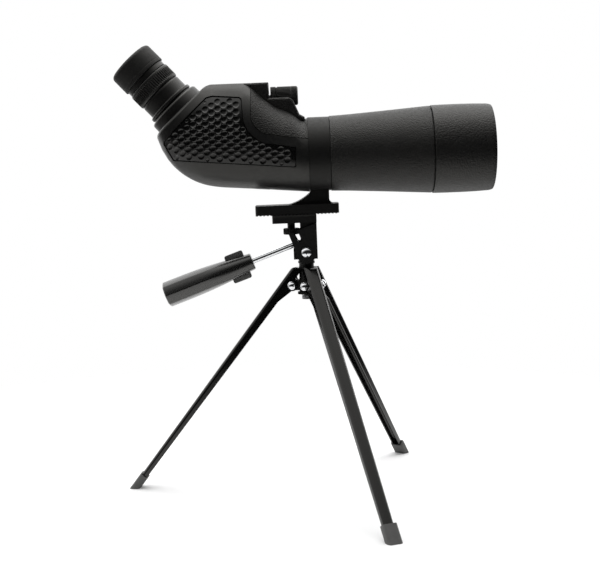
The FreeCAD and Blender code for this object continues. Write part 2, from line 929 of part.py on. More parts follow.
def make_zoom_groups():
    """Two lens cells that slide inside the eyepiece as the zoom ring turns."""
    outer = size("eye_tube_bore") - size("gap")
    for name, low in (("zoom_front", -8.0), ("zoom_rear", 24.0)):
        keep(ring(low, low + 10, outer, 12.0), f"{name}_cell", eye_frame)
        keep(lens(low + 3.5, low + 6.5, 12.0, 1.0, 1.4), f"{name}_lens", eye_frame)


def make_eyecup():
    """Twist-up rubber eyecup on its metal sleeve."""
    back = size("eyecup_back")
    front = size("eyecup_front")
    radius = size("eyecup_radius")
    sleeve_bore = 16.9 + size("gap")
    sleeve_out = 18.1
    cup = turned(
        [
            (back, sleeve_out),
            (front - 2.8, sleeve_out),
            (front - 2.8, 15.0),
            (front - 1.8, 13.6),
            (front - 0.4, 14.6),
            (front, 16.2),
            (front, radius - 2.4),
            (front - 2.2, radius, 2.4),
            (back + 0.5, radius),
            (back, radius - 0.5),
        ]
    )
    keep(cup, "eyecup", eye_frame)
    keep(ring(back + 0.2, front - 3.2, sleeve_out, sleeve_bore), "eyecup_sleeve", eye_frame)


# --- tripod head ----------------------------------------------------------------------------------


def make_platform():
    """Platform plate and its soft pad."""
    low = size("platform_low")
    high = size("platform_high")
    top = size("foot_low")
    for name, span, hole in (("platform_plate", (low, high), 3.7), ("platform_pad", (high, top), 4.2)):
        plate = slab([(-27.3, span[0]), (9.6, span[0]), (9.6, span[1]), (-27.3, span[1])], 26.0)
        soften(plate, 2.5, upright)
        way = rod("z", hole, (low - 1, top + 1), (size("screw_back"), 0.0))
        keep(cut(plate, way), name, head_frame)


def make_mounting_screw():
    """Camera screw and the knurled thumbwheel that turns it."""
    radius = size("mount_screw_radius")
    low = size("wheel_low")
    tip = size("foot_low") + 6.2
    upright_frame = head_frame * moved(size("screw_back")) * turned_by(Y_AXIS, -90)
    screw = turned([(low, 0.0), (tip, 0.0), (tip, radius - 0.6), (tip - 0.6, radius), (low, radius)])
    keep(screw, "mounting_screw", upright_frame)
    wheel = turned(
        [
            (size("wheel_low"), radius),
            (size("wheel_high"), radius),
            (size("wheel_high"), size("wheel_radius") - 0.5),
            (size("wheel_high") - 0.5, size("wheel_radius")),
            (size("wheel_low") + 0.5, size("wheel_radius")),
            (size("wheel_low"), size("wheel_radius") - 0.5),
        ]
    )
    edge = size("wheel_radius")
    notch_along(wheel, notch_shape(edge, 0.4, 1.0), low - 1, size("wheel_high") + 1, 24)
    keep(wheel, "thumbwheel", upright_frame)


def make_inner_bracket():
    """Folded bracket under the platform, with a cheek on each side of the lug."""
    inner = size("bracket_inner")
    high = size("platform_low")
    outer = slab(
        [
            (-10.6, -5.8),
            (9.4, -5.8),
            (9.4, high),
            (-4.4, high),
            (-4.4, 8.0),
            (-8.0, 3.3),
            (-10.6, 3.3),
        ],
        (inner + size("sheet")) * 2,
    )
    space = block((-12.0, 11.0), (-inner, inner), (-8.0, high - size("sheet")))
    screw_way = rod("y", size("tilt_screw_radius"), (-20.0, 20.0))
    keep(cut(outer, space, screw_way), "inner_tilt_bracket", head_frame)


def make_outer_bracket():
    """Outer bracket: slotted cheeks joined by a web that holds the handle rod."""
    inner = size("bracket_inner") + size("sheet")
    round_about = size("cheek_radius")
    outer = slab(
        [
            (-8.7, -2.3),
            (8.7, -2.3, 9.0),
            (9.0, 3.0),
            (8.6, 24.0),
            (-6.8, 18.3),
            (-3.4, 10.2),
            (-6.5, 9.0, -2.2),
            (-10.2, 16.6),
            (-14.0, 15.2),
            (-9.9, 4.0),
        ],
        (inner + size("sheet")) * 2,
    )
    rounded = common(outer, fused(rod("y", round_about, (-30.0, 30.0)), block((-20, 20), (-30, 30), (-2.3, 40))))
    space = slab(
        [(-12.6, 15.8), (-8.4, 3.7), (-14.0, 3.6), (-14.0, -12.0), (12.0, -12.0), (12.0, 30.0), (-12.6, 30.0)],
        inner * 2,
    )
    over_web = block((-20.0, -8.0), (-inner, inner), (13.4, 20.0))
    screw_way = rod("y", size("tilt_screw_radius"), (-20.0, 20.0))
    rod_way = rod("x", size("rod_radius") + 0.3, (-10.0, 10.0))
    rod_way.Placement = (head_frame.inverse() * handle_frame) * rod_way.Placement
    keep(cut(rounded, space, over_web, screw_way, rod_way), "outer_tilt_bracket", head_frame)


def make_tilt_screw():
    """Cross-head screw with a domed chrome head, its nut and two washers."""
    face = size("bracket_inner") + size("sheet") * 2
    radius = size("tilt_screw_radius")
    screw = turned(
        [
            (-(face + 4), 0.0),
            (face + 2.9, 0.0),
            (face + 0.6, 4.3, dome(4.3, 2.3)),
            (face + 0.6, radius),
            (-(face + 4), radius),
        ]
    )
    slots = [block((face + 2.0, face + 4), (-a, a), (-b, b)) for a, b in ((1.7, 0.4), (0.4, 1.7))]
    side_frame = head_frame * turned_by(Z_AXIS, -90)
    keep(cut(screw, *slots), "tilt_screw", side_frame)
    washers = [ring(low, low + 0.6, 4.9, radius) for low in (face, -face - 0.6)]
    keep(fused(*washers), "tilt_washers", side_frame)
    hexagon = doc.addObject("Part::Prism", "Hexagon")
    hexagon.Polygon = 6
    bind(hexagon, "Circumradius", 4.6)
    bind(hexagon, "Height", 3.0)
    hexagon.Placement = Placement(Vector(-number(face) - 3.6, 0, 0), Rotation(Y_AXIS, 90))
    keep(cut(hexagon, rod("x", radius, (-20.0, 20.0))), "tilt_nut", side_frame)


def make_pan_head():
    """Turning head: a disc on the hub, a lug for the tilt screw and the pan bolt."""
    top = size("hub_top")
    pivot = size("tilt_height")
    disc = rod("z", size("neck_radius"), (top + 0.9, top + 2.6))
    lug_width = size("lug_half_width")
    post = block((-size("lug_radius"), size("lug_radius")), (-5.0, 5.0), (top + 2, pivot))
    ears = block((-size("lug_radius"), size("lug_radius")), (-lug_width, lug_width), (pivot - 5, pivot))
    eye = rod("y", size("lug_radius"), (-lug_width, lug_width), (0.0, pivot))
    screw_way = rod("y", size("tilt_screw_radius") + size("fit"), (-20.0, 20.0), (0.0, pivot))
    bolt_way = rod("z", 2.5, (top, top + 5))
    keep(cut(fused(disc, post, ears, eye), screw_way, bolt_way), "pan_head", pan_frame)
    shank = rod("z", 2.5, (size("pin_height") - 9, top + 5))
    head = rod("z", 4.2, (size("pin_height") - 12, size("pin_height") - 9))
    keep(fused(shank, head), "pan_bolt", pan_frame)


# --- handle ---------------------------------------------------------------------------------------


def make_handle():
    """Threaded rod and a tapered grip with two wings."""
    start = size("grip_start")
    end = size("grip_end")
    radius = size("rod_radius")
    shank = turned([(-5.0, 0.0), (end - 20, 0.0), (end - 20, radius), (-5.0, radius)])
    keep(shank, "handle_rod", handle_frame)
    front = size("grip_front_radius")
    rear = size("grip_rear_radius")
    grip = turned(
        [
            (start, radius),
            (end - 20, radius),
            (end - 20, 0.0),
            (end, 0.0),
            (end, rear - 1.5),
            (end - 1.5, rear, 1.5),
            (start + 1.0, front, 520.0),
            (start, front - 1.0),
        ]
    )
    span = size("wing_half_span")
    wing = slab(
        [
            (start + 5.7, -span + 1),
            (start + 6.7, -span),
            (start + 20.8, -span),
            (start + 21.8, -span + 1),
            (start + 21.8, span - 1),
            (start + 20.8, span),
            (start + 6.7, span),
            (start + 5.7, span - 1),
        ],
        3.0,
    )
    rod_space = rod("x", radius, (start, end - 20))
    keep(cut(fused(grip, wing), rod_space), "handle_grip", handle_frame)
    hexagon = doc.addObject("Part::Prism", "Hexagon")
    hexagon.Polygon = 6
    bind(hexagon, "Circumradius", 4.0)
    bind(hexagon, "Height", 2.4)
    hexagon.Placement = Placement(Vector(-4.7, 0, 0), Rotation(Y_AXIS, 90))
    bore = rod("x", radius + size("fit"), (-10.0, 10.0))
    keep(cut(hexagon, bore), "handle_lock_nut", handle_frame)


# --- legs -----------------------------------------------------------------------------------------


def leg_wedge(inset):
    """Tapered bar along the leg, inset all round but on its inner face."""
    rise = size("leg_rise") - inset
    bar = doc.addObject("Part::Wedge", "Bar")
    half_top = size("leg_width_top") / 2 - inset
    half_low = size("leg_width_low") / 2 - inset
    centre = size("leg_offset")
    deep_top = size("leg_depth_top") / 2
    deep_low = size("leg_depth_low") / 2
    open_by = 1.0 if inset else 0.0
    spans = {
        "Ymin": -rise,
        "Ymax": size("leg_length") + (1.0 if inset else 0.0),
        "Xmin": -half_top,
        "Xmax": half_top,
        "X2min": -half_low,
        "X2max": half_low,
        "Zmin": centre - deep_top - open_by,
        "Zmax": centre + deep_top - inset,
        "Z2min": centre - deep_low - open_by,
        "Z2max": centre + deep_low - inset,
    }
    for name, value in spans.items():
        bind(bar, name, value)
    bar.Placement = Placement(Vector(), Rotation(Z_AXIS, -90))
    return bar


def rounded_bar(inset, long_round, top_round):
    """Leg bar with rounded long outer edges and a rounded top outer corner."""
    bar = leg_wedge(inset)
    doc.recompute()
    rounding = doc.addObject("Part::Fillet", "Round")
    rounding.Base = bar
    outer = number(size("leg_offset"))
    chosen = []
    for index, edge in enumerate(bar.Shape.Edges, start=1):
        box = edge.BoundBox
        if box.ZMin > outer and box.XLength > 100:
            chosen.append((index, long_round, long_round))
        elif box.ZMin > outer and box.XMax < 0:
            chosen.append((index, top_round, top_round))
    rounding.Edges = chosen
    return rounding


def make_leg(name, azimuth):
    """Channel leg with two ears at its pivot, and its rubber foot."""
    width = size("leg_width_top")
    wall = size("leg_sheet")
    ear_outline = [
        (-12.0, 2.5),
        (-7.0, 1.5),
        (-4.3, -2.6),
        (4.3, -2.6, 5.0),
        (20.0, 1.6),
        (24.0, 3.4),
        (-12.0, 3.4),
    ]
    ears = cut(slab(ear_outline, width), slab(ear_outline, width - wall * 2))
    channel = cut(rounded_bar(0.0, 3.2, 6.5), rounded_bar(number(wall), 2.0, 5.3))
    hole = rod("y", size("bolt_radius") + size("fit"), (-20.0, 20.0))
    trimmed = cut(fused(channel, ears), hole, hub_clearance())
    place = tripod_frame * turned_by(Z_AXIS, azimuth)
    keep(trimmed, f"leg_{name}", place * leg_frame)

    centre = size("leg_offset")
    low = size("leg_length")
    cap = block((low - 8.5, low + 14), (-6.5, 6.5), (centre - 3.6, centre + 3.6))
    doc.recompute()
    rounding = doc.addObject("Part::Fillet", "CapRound")
    rounding.Base = cap
    rounding.Edges = [
        (index, 2.8, 2.8) for index, edge in enumerate(cap.Shape.Edges, start=1) if edge.BoundBox.XLength > 5
    ]
    floor = block((0, 400), (-50, 50), (-60, 0))
    floor.Placement = leg_frame.inverse() * moved(0, -50, -60)
    keep(cut(rounding, leg_wedge(0.0), floor), f"foot_{name}", place * leg_frame)


def hub_clearance():
    """Space for the hub's post, in the leg frame; the leg rests against it when it is open."""
    post = rod("z", size("hub_radius") + size("gap"), (-60.0, 60.0))
    post.Placement = leg_frame.inverse() * moved(z=150)
    return post


def make_hub():
    """Hub with three lugs, a bottom plate and the washer that the pan head turns on."""
    low = size("pin_height") - 6
    top = size("hub_top")
    reach = size("pin_radius")
    post = rod("z", size("hub_radius"), (low, top))
    lugs = []
    holes = [rod("z", 2.5 + size("fit"), (low - 1, top + 1))]
    half = 4.3
    eye = 4.4
    for azimuth in LEG_AZIMUTHS.values():
        turn = turned_by(Z_AXIS, azimuth) * moved(0, 0, size("pin_height"))
        lug = slab([(0.0, -eye), (reach, -eye), (reach, eye, eye + 0.5), (0.0, eye)], half * 2)
        lugs.append(placed(lug, turn))
        hole = turned([(-9.0, 0.0), (9.0, 0.0), (9.0, size("bolt_radius")), (-9.0, size("bolt_radius"))])
        holes.append(placed(hole, turn * moved(reach) * turned_by(Z_AXIS, 90)))
    keep(cut(fused(post, *lugs), *holes), "tripod_hub", tripod_frame)
    plate = rod("z", 7.6, (low - 1.8, low))
    keep(cut(plate, rod("z", 2.5 + size("fit"), (low - 5, low + 1))), "hub_bottom_plate", tripod_frame)
    washer = rod("z", 6.2, (top, top + 0.8))
    keep(cut(washer, rod("z", 2.5 + size("fit"), (top - 1, top + 2))), "pan_washer", tripod_frame)


def make_leg_bolts():
    """Domed pivot bolts and matching domed nuts, one set to a leg."""
    half = size("leg_width_top") / 2
    radius = size("bolt_radius")
    head = size("bolt_head_radius")
    bolts = []
    nuts = []
    for azimuth in LEG_AZIMUTHS.values():
        pivot = turned_by(Z_AXIS, azimuth) * moved(size("pin_radius"), 0, size("pin_height"))
        across = pivot * turned_by(Z_AXIS, 90)
        bolt = turned(
            [
                (-(half + 5.0), 0.0, dome(head, 2.6)),
                (half + 3.0, 0.0),
                (half + 3.0, radius),
                (-(half + 0.7), radius),
                (-(half + 0.7), head),
                (-(half + 2.4), head),
            ]
        )
        bolts.append(placed(bolt, across))
        nut = turned(
            [
                (half + 0.7, radius),
                (half + 3.0, radius),
                (half + 3.0, 0.0),
                (half + 5.0, 0.0),
                (half + 2.4, head, dome(head, 2.6)),
                (half + 0.7, head),
            ]
        )
        nuts.append(placed(nut, across))
    keep(fused(*bolts), "leg_pivot_bolts", tripod_frame)
    keep(fused(*nuts), "leg_pivot_nuts", tripod_frame)


# --- the whole object -----------------------------------------------------------------------------

make_main_barrel()
make_sunshade()
make_objective()
make_baffle()
make_mounting_collar()
make_thread_insert()
make_housing()
make_prism()
make_focus_drive()
make_focus_carriage()
make_eyepiece_barrel()
make_eye_lens()
make_zoom_ring()
make_zoom_groups()
make_eyecup()
make_platform()
make_mounting_screw()
make_inner_bracket()
make_outer_bracket()
make_tilt_screw()
make_pan_head()
make_handle()
for leg_name, leg_azimuth in LEG_AZIMUTHS.items():
    make_leg(leg_name, leg_azimuth)
make_hub()
make_leg_bolts()

doc.recompute()

faults = [thing.Label for thing in doc.Objects if "Invalid" in thing.State or "Error" in thing.State]
for thing in parts:
    if thing.Shape.isNull() or not thing.Shape.isValid() or thing.Shape.Volume <= 0:
        faults.append(f"{thing.Label} has no sound shape")
if faults:
    raise RuntimeError("faults: " + ", ".join(faults))

os.makedirs("parts", exist_ok=True)
for thing in parts:
    thing.Shape.exportStep(os.path.join("parts", thing.Label + ".step"))
    box = thing.Shape.BoundBox
    print(f"{thing.Label:26s} {len(thing.Shape.Solids)} solid(s) {thing.Shape.Volume:10.1f} mm3")
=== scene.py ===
import json
import math

import bpy
from mathutils import Matrix, Vector
from mathutils.bvhtree import BVHTree
from mathutils.geometry import delaunay_2d_cdt


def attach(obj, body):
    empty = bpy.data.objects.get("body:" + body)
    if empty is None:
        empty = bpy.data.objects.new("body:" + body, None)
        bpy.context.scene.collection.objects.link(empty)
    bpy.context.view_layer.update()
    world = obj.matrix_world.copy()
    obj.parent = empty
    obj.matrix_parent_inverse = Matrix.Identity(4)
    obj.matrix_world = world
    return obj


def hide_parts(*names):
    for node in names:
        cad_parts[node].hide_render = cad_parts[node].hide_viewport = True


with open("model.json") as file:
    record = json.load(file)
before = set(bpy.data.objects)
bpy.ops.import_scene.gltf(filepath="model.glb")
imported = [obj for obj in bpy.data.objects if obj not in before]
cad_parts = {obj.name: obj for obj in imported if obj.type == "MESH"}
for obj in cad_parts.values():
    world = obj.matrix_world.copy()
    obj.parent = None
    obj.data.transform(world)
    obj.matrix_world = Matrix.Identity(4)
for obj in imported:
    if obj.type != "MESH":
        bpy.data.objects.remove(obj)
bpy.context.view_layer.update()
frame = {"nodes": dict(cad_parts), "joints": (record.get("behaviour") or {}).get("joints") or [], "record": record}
nodes = frame["nodes"]

# The scope's own frames, worked out from the joints. A piece's own sizes are in millimetres.
MM = 0.001
OPTICAL_HEIGHT = 81.0
FOCUS_HEIGHT = 129.9
SCREW_BACK = -11.8
ZOOM_STATION = 31.0
joints = {joint["name"]: joint for joint in frame["joints"]}


def axes_frame(origin, forward, side):
    """Matrix from a frame's millimetres to the scene's metres, with X forward and Y near the side."""
    forward = Vector(forward).normalized()
    up = forward.cross(Vector(side)).normalized()
    across = up.cross(forward)
    turn = Matrix((forward, across, up)).transposed().to_4x4()
    return Matrix.Translation(origin) @ turn @ Matrix.Scale(MM, 4)


SIDE = joints["tilt"]["axis"]
HEAD = axes_frame(joints["tilt"]["pos_m"], joints["sunshade_slide"]["axis"], SIDE)
SCOPE = HEAD @ Matrix.Translation((0, 0, OPTICAL_HEIGHT))
DRIVE = HEAD @ Matrix.Translation((0, 0, FOCUS_HEIGHT))
EYE = axes_frame(joints["zoom_turn"]["pos_m"], joints["zoom_turn"]["axis"], SIDE)
EYE = EYE @ Matrix.Translation((-ZOOM_STATION, 0, 0))
HANDLE = axes_frame(joints["handle_twist"]["pos_m"], joints["handle_twist"]["axis"], SIDE)
WHEEL = HEAD @ Matrix.Translation((SCREW_BACK, 0, 0)) @ Matrix.Rotation(-math.pi / 2, 4, "Y")


# --- materials ------------------------------------------------------------------------------------


class Finish:
    """Small builder for a node material on the Principled shader."""

    def __init__(self, name, colour, roughness, metallic=0.0, specular=0.5):
        self.name = name
        self.material = bpy.data.materials.new(f"{name}_finish")
        self.material.use_nodes = True
        self.nodes = self.material.node_tree.nodes
        self.links = self.material.node_tree.links
        self.shader = self.nodes["Principled BSDF"]
        self.shader.inputs["Base Color"].default_value = (*colour, 1.0)
        self.shader.inputs["Roughness"].default_value = roughness
        self.shader.inputs["Metallic"].default_value = metallic
        self.shader.inputs["Specular IOR Level"].default_value = specular
        self.place = self.nodes.new("ShaderNodeTexCoord").outputs["Object"]
        self.normal = None

    def noise(self, size, detail=3.0):
        """Noise whose features are about size millimetres across."""
        texture = self.nodes.new("ShaderNodeTexNoise")
        texture.inputs["Scale"].default_value = 1.0 / (size * MM)
        texture.inputs["Detail"].default_value = detail
        self.links.new(self.place, texture.inputs["Vector"])
        return texture.outputs["Fac"]

    def cells(self, size, smoothness=0.6):
        """Rounded cells about size millimetres across, for pebbled surfaces."""
        texture = self.nodes.new("ShaderNodeTexVoronoi")
        texture.feature = "SMOOTH_F1"
        texture.inputs["Scale"].default_value = 1.0 / (size * MM)
        texture.inputs["Smoothness"].default_value = smoothness
        self.links.new(self.place, texture.inputs["Vector"])
        return texture.outputs["Distance"]

    def spread(self, source, low, high, start=0.3, end=0.7):
        """Map a texture onto a range of values."""
        ranged = self.nodes.new("ShaderNodeMapRange")
        self.links.new(source, ranged.inputs["Value"])
        for name, value in (("From Min", start), ("From Max", end), ("To Min", low), ("To Max", high)):
            ranged.inputs[name].default_value = value
        return ranged.outputs["Result"]

    def vary_colour(self, source, dark, light):
        mix = self.nodes.new("ShaderNodeMix")
        mix.data_type = "RGBA"
        self.links.new(self.spread(source, 0.0, 1.0), mix.inputs["Factor"])
        mix.inputs["A"].default_value = (*dark, 1.0)
        mix.inputs["B"].default_value = (*light, 1.0)
        self.links.new(mix.outputs["Result"], self.shader.inputs["Base Color"])
        return self

    def vary_roughness(self, source, low, high):
        self.links.new(self.spread(source, low, high), self.shader.inputs["Roughness"])
        return self

    def bump(self, source, depth):
        """Raise the surface by depth millimetres where the texture is high."""
        bump = self.nodes.new("ShaderNodeBump")
        bump.inputs["Distance"].default_value = depth * MM
        bump.inputs["Strength"].default_value = 1.0
        self.links.new(source, bump.inputs["Height"])
        if self.normal:
            self.links.new(self.normal, bump.inputs["Normal"])
        self.normal = bump.outputs["Normal"]
        self.links.new(self.normal, self.shader.inputs["Normal"])
        return self

    def coat(self, weight, roughness):
        self.shader.inputs["Coat Weight"].default_value = weight
        self.shader.inputs["Coat Roughness"].default_value = roughness
        return self


WARM = (1.0, 0.98, 0.92, 1.0)
MOTTLE = 0.15
MOTTLE_SIZE = 9.0
GLOSS_PATCH_SIZE = 2.5


def grey(value):
    return (value, value, value)


def black_finish(name, level, roughness, specular=0.5):
    """Black moulded or painted surface with faint mottling in colour and gloss."""
    finish = Finish(name, grey(level), roughness, specular=specular)
    finish.shader.inputs["Specular Tint"].default_value = WARM
    patches = finish.noise(MOTTLE_SIZE, 4.0)
    finish.vary_colour(patches, grey(level * (1 - MOTTLE)), grey(level * (1 + MOTTLE)))
    finish.vary_roughness(finish.noise(GLOSS_PATCH_SIZE, 5.0), roughness * 0.9, roughness * 1.12)
    return finish


def make_finishes():
    """Every finish's material, by slot name."""
    housing = black_finish("satin_housing", 0.011, 0.38, specular=0.45)
    housing.bump(housing.noise(0.35, 2.0), 0.006)
    armour = black_finish("armour", 0.010, 0.44, specular=0.38)
    armour.bump(armour.cells(1.0, 0.3), -0.34).bump(armour.noise(0.5), 0.05)
    hood = black_finish("hood_finish", 0.010, 0.42, specular=0.42)
    hood.bump(hood.cells(1.25), -0.27).bump(hood.noise(0.5), 0.03)
    grip_rubber = black_finish("grip_rubber", 0.005, 0.24, specular=0.32)
    grip_rubber.coat(0.45, 0.12).bump(grip_rubber.noise(0.4), 0.008)
    eyepiece = black_finish("eyepiece_metal", 0.009, 0.36)
    eyepiece.bump(eyepiece.noise(0.25), 0.004)
    knob = black_finish("knob_plastic", 0.010, 0.42)
    knob.bump(knob.noise(0.3), 0.008)
    eyecup = black_finish("eyecup_rubber", 0.011, 0.58, specular=0.4)
    eyecup.bump(eyecup.noise(0.3), 0.010)
    casting = black_finish("cast_black", 0.007, 0.50, specular=0.28)
    casting.bump(casting.noise(0.45, 5.0), 0.020)
    gloss = black_finish("gloss_black", 0.003, 0.13, specular=0.35).coat(0.3, 0.05)
    gloss.bump(gloss.noise(6.0, 2.0), 0.004)
    grip_plastic = black_finish("grip_plastic", 0.012, 0.28).coat(0.9, 0.16)
    grip_plastic.bump(grip_plastic.noise(5.0, 2.0), 0.008)
    foot = black_finish("foot_rubber", 0.085, 0.62)
    foot.bump(foot.noise(0.5), 0.02)
    pad = black_finish("pad_rubber", 0.008, 0.66)
    pad.bump(pad.noise(0.5), 0.02)
    inner = black_finish("inner_black", 0.006, 0.50)
    inner.bump(inner.noise(0.3), 0.006)
    chrome = Finish("chrome", (0.78, 0.79, 0.80), 0.10, metallic=1.0)
    chrome.vary_roughness(chrome.noise(1.5), 0.07, 0.14)
    chrome.bump(chrome.noise(4.0), 0.006)
    steel = Finish("steel", (0.52, 0.52, 0.53), 0.32, metallic=1.0)
    steel.vary_roughness(steel.noise(0.6, 4.0), 0.26, 0.40)
    brass = Finish("brass", (0.68, 0.50, 0.24), 0.30, metallic=1.0)
    brass.vary_roughness(brass.noise(0.6, 4.0), 0.25, 0.38)
    glass = Finish("lens_glass", (0.80, 0.90, 0.86), 0.02)
    glass.shader.inputs["Transmission Weight"].default_value = 1.0
    glass.shader.inputs["IOR"].default_value = 1.52
    glass.shader.inputs["Specular Tint"].default_value = (0.35, 0.95, 0.60, 1.0)
    glass.vary_roughness(glass.noise(20.0), 0.010, 0.025)
    finishes = [housing, armour, hood, grip_rubber, eyepiece, knob, eyecup, casting, gloss]
    finishes += [grip_plastic, foot, pad, inner, chrome, steel, brass, glass]
    return {finish.name: finish.material for finish in finishes}


FINISHES = make_finishes()
SLOT_OF = {part["node"]: part["material_slot"] for part in frame["record"]["subparts"]}


def dress(thing, slot):
    """Give a thing the finish of a slot."""
    thing.data.materials.clear()
    thing.data.materials.append(FINISHES[slot])


# --- mesh helpers ---------------------------------------------------------------------------------


def new_piece(name, verts, faces, node, crease=35.0, slot=None, added=False):
    """Mesh that rides on a CAD node's body, in its finish or another slot's.

    It stands for the node, or when added is true, it is shown beside the node.
    """
    slot = slot or SLOT_OF[node]
    mesh = bpy.data.meshes.new(name)
    mesh.from_pydata(verts, [], faces)
    mesh.validate()
    mesh.shade_smooth()
    mesh.set_sharp_from_angle(angle=math.radians(crease))
    piece = bpy.data.objects.new(name, mesh)
    bpy.context.scene.collection.objects.link(piece)
    dress(piece, slot)
    body = next(b for b, members in frame["record"]["behaviour"]["bodies"].items() if node in members)
    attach(piece, body)
    if not added:
        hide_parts(node)
    return piece


def softened(profile, steps=5):
    """Closed profile of (x, radius[, round]) corners, with each round drawn as a short curve."""
    points = []
    count = len(profile)
    for index, corner in enumerate(profile):
        here = Vector(corner[:2])
        if len(corner) == 2:
            points.append(here)
            continue
        back = Vector(profile[index - 1][:2]) - here
        ahead = Vector(profile[(index + 1) % count][:2]) - here
        reach = min(corner[2], back.length * 0.49, ahead.length * 0.49)
        start = here + back.normalized() * reach
        end = here + ahead.normalized() * reach
        for step in range(steps + 1):
            t = step / steps
            points.append(start * (1 - t) ** 2 + here * 2 * t * (1 - t) + end * t * t)
    return points


def with_spacing(points, spacing):
    """Closed chain of points, filled in so that no step is longer than spacing."""
    filled = []
    for index, point in enumerate(points):
        after = points[(index + 1) % len(points)]
        pieces = max(1, math.ceil((after - point).length / spacing))
        filled += [point.lerp(after, k / pieces) for k in range(pieces)]
    return filled


def smooth_step(value, low, high):
    """Ease from 0 at low to 1 at high."""
    t = min(1.0, max(0.0, (value - low) / (high - low)))
    return t * t * (3 - 2 * t)


RIB_SKIN = 0.9


def lathe(name, node, place, profile, around=192, spacing=6.0, shape=None):
    """Turned piece from a closed profile; shape(x, radius, angle) may move a point in or out."""
    chain = with_spacing(softened(profile), spacing)
    verts = []
    for turn in range(around):
        angle = 2 * math.pi * turn / around
        for x, radius in chain:
            reach = radius + (shape(x, radius, angle) if shape else 0.0)
            verts.append(place @ Vector((x, reach * math.cos(angle), reach * math.sin(angle))))
    count = len(chain)
    faces = []
    for turn in range(around):
        here = turn * count
        there = (turn + 1) % around * count
        for k in range(count):
            after = (k + 1) % count
            faces.append((here + k, here + after, there + after, there + k))
    return new_piece(name, verts, faces, node)


def ribs(count, depth, low, high, outer, fade, sharp):
    """Shape for lathe: grooves along X between two stations, cut only in the outer skin."""

    def shape(x, radius, angle):
        if radius < outer - RIB_SKIN:
            return 0.0
        along = smooth_step(x, low, low + fade) * (1 - smooth_step(x, high - fade, high))
        wave = 0.5 - 0.5 * math.cos(count * angle)
        return -depth * along * wave**sharp

    return shape


# --- objective end --------------------------------------------------------------------------------

SEAM = 107.2
HOOD_FRONT = 157.2


def make_sunshade():
    """Sliding sunshade with a slight waist and a rounded front lip."""
    profile = [
        (SEAM + 0.3, 34.0),
        (HOOD_FRONT - 1.0, 34.0, 0.4),
        (HOOD_FRONT, 34.6, 0.5),
        (HOOD_FRONT, 35.2, 0.9),
        (HOOD_FRONT - 2.6, 35.95, 1.2),
        (SEAM + 36.0, 36.45, 8.0),
        (SEAM + 24.0, 36.62, 6.0),
        (SEAM + 10.0, 36.60, 5.0),
        (SEAM + 0.3, 36.45, 0.6),
    ]
    lathe("sunshade_hood_shell", "sunshade_hood", SCOPE, profile, around=224, spacing=5.0)


def make_barrel():
    """Tapered barrel with its sleeve in front and its spigot behind."""
    back = 22.8
    spigot_back = -4.0
    profile = [
        (spigot_back, 25.4),
        (back + 4.0, 25.4),
        (65.0, 31.0),
        (SEAM - 4.0, 31.6),
        (150.0, 31.6, 0.3),
        (150.0, 33.6, 0.5),
        (SEAM - 0.6, 33.6),
        (SEAM - 0.6, 35.7),
        (SEAM - 0.9, 36.05, 0.5),
        (91.0, 35.05, 8.0),
        (71.0, 33.70, 8.0),
        (51.0, 32.45, 8.0),
        (38.0, 31.65, 6.0),
        (back + 0.2, 31.05, 0.6),
        (back + 0.2, 27.3),
        (spigot_back, 27.3),
    ]
    lathe("main_barrel_tube", "main_barrel", SCOPE, profile, around=224, spacing=4.0)


# --- eyepiece -------------------------------------------------------------------------------------


def make_eyepiece():
    """Eyecup, ribbed zoom ring, body with a thin flange, and seat collar."""
    cup_back = 42.1
    cup_front = 59.8
    lathe(
        "eyecup_rubber_cup",
        "eyecup",
        EYE,
        [
            (cup_back, 18.1),
            (cup_front - 2.8, 18.1, 0.4),
            (cup_front - 2.8, 14.6, 0.4),
            (cup_front - 1.4, 13.7, 0.8),
            (cup_front, 15.8, 1.2),
            (cup_front, 18.4, 1.4),
            (cup_front - 1.8, 20.3, 1.6),
            (cup_back + 3.6, 20.4, 0.6),
            (cup_back + 3.2, 20.25, 0.3),
            (cup_back + 2.8, 20.4, 0.3),
            (cup_back, 20.4, 0.6),
        ],
        around=160,
    )
    lathe(
        "zoom_ring_ribbed",
        "zoom_ring",
        EYE,
        [
            (24.7, 17.7),
            (37.4, 17.7),
            (37.4, 19.5, 0.5),
            (36.4, 19.95, 0.4),
            (25.9, 19.95, 0.4),
            (24.7, 19.5, 0.5),
        ],
        around=62 * 8,
        spacing=1.0,
        shape=ribs(62, 0.75, 26.2, 35.0, 19.9, fade=0.4, sharp=1.2),
    )
    lathe(
        "eyepiece_body_turned",
        "eyepiece_body",
        EYE,
        [
            (-10.0, 15.0),
            (37.6, 15.0),
            (37.6, 17.3),
            (23.9, 17.3),
            (23.9, 18.9, 0.4),
            (22.6, 19.2, 0.4),
            (13.3, 19.2, 0.3),
            (13.0, 20.6, 0.3),
            (12.6, 21.1, 0.4),
            (10.6, 21.1, 0.4),
            (10.2, 20.4, 0.3),
            (10.0, 18.6),
            (8.9, 18.6),
            (8.9, 17.3),
            (-10.0, 17.3),
        ],
        around=176,
    )
    lathe(
        "eyepiece_collar_turned",
        "eyepiece_collar",
        EYE,
        [
            (-5.0, 17.35),
            (8.6, 17.35),
            (8.8, 18.4, 0.3),
            (8.8, 22.6, 0.6),
            (7.6, 23.7, 0.8),
            (1.2, 23.9, 0.5),
            (-1.0, 23.9),
            (-1.0, 20.0),
            (-5.0, 20.0),
        ],
        around=176,
    )


# --- knobs ----------------------------------------------------------------------------------------


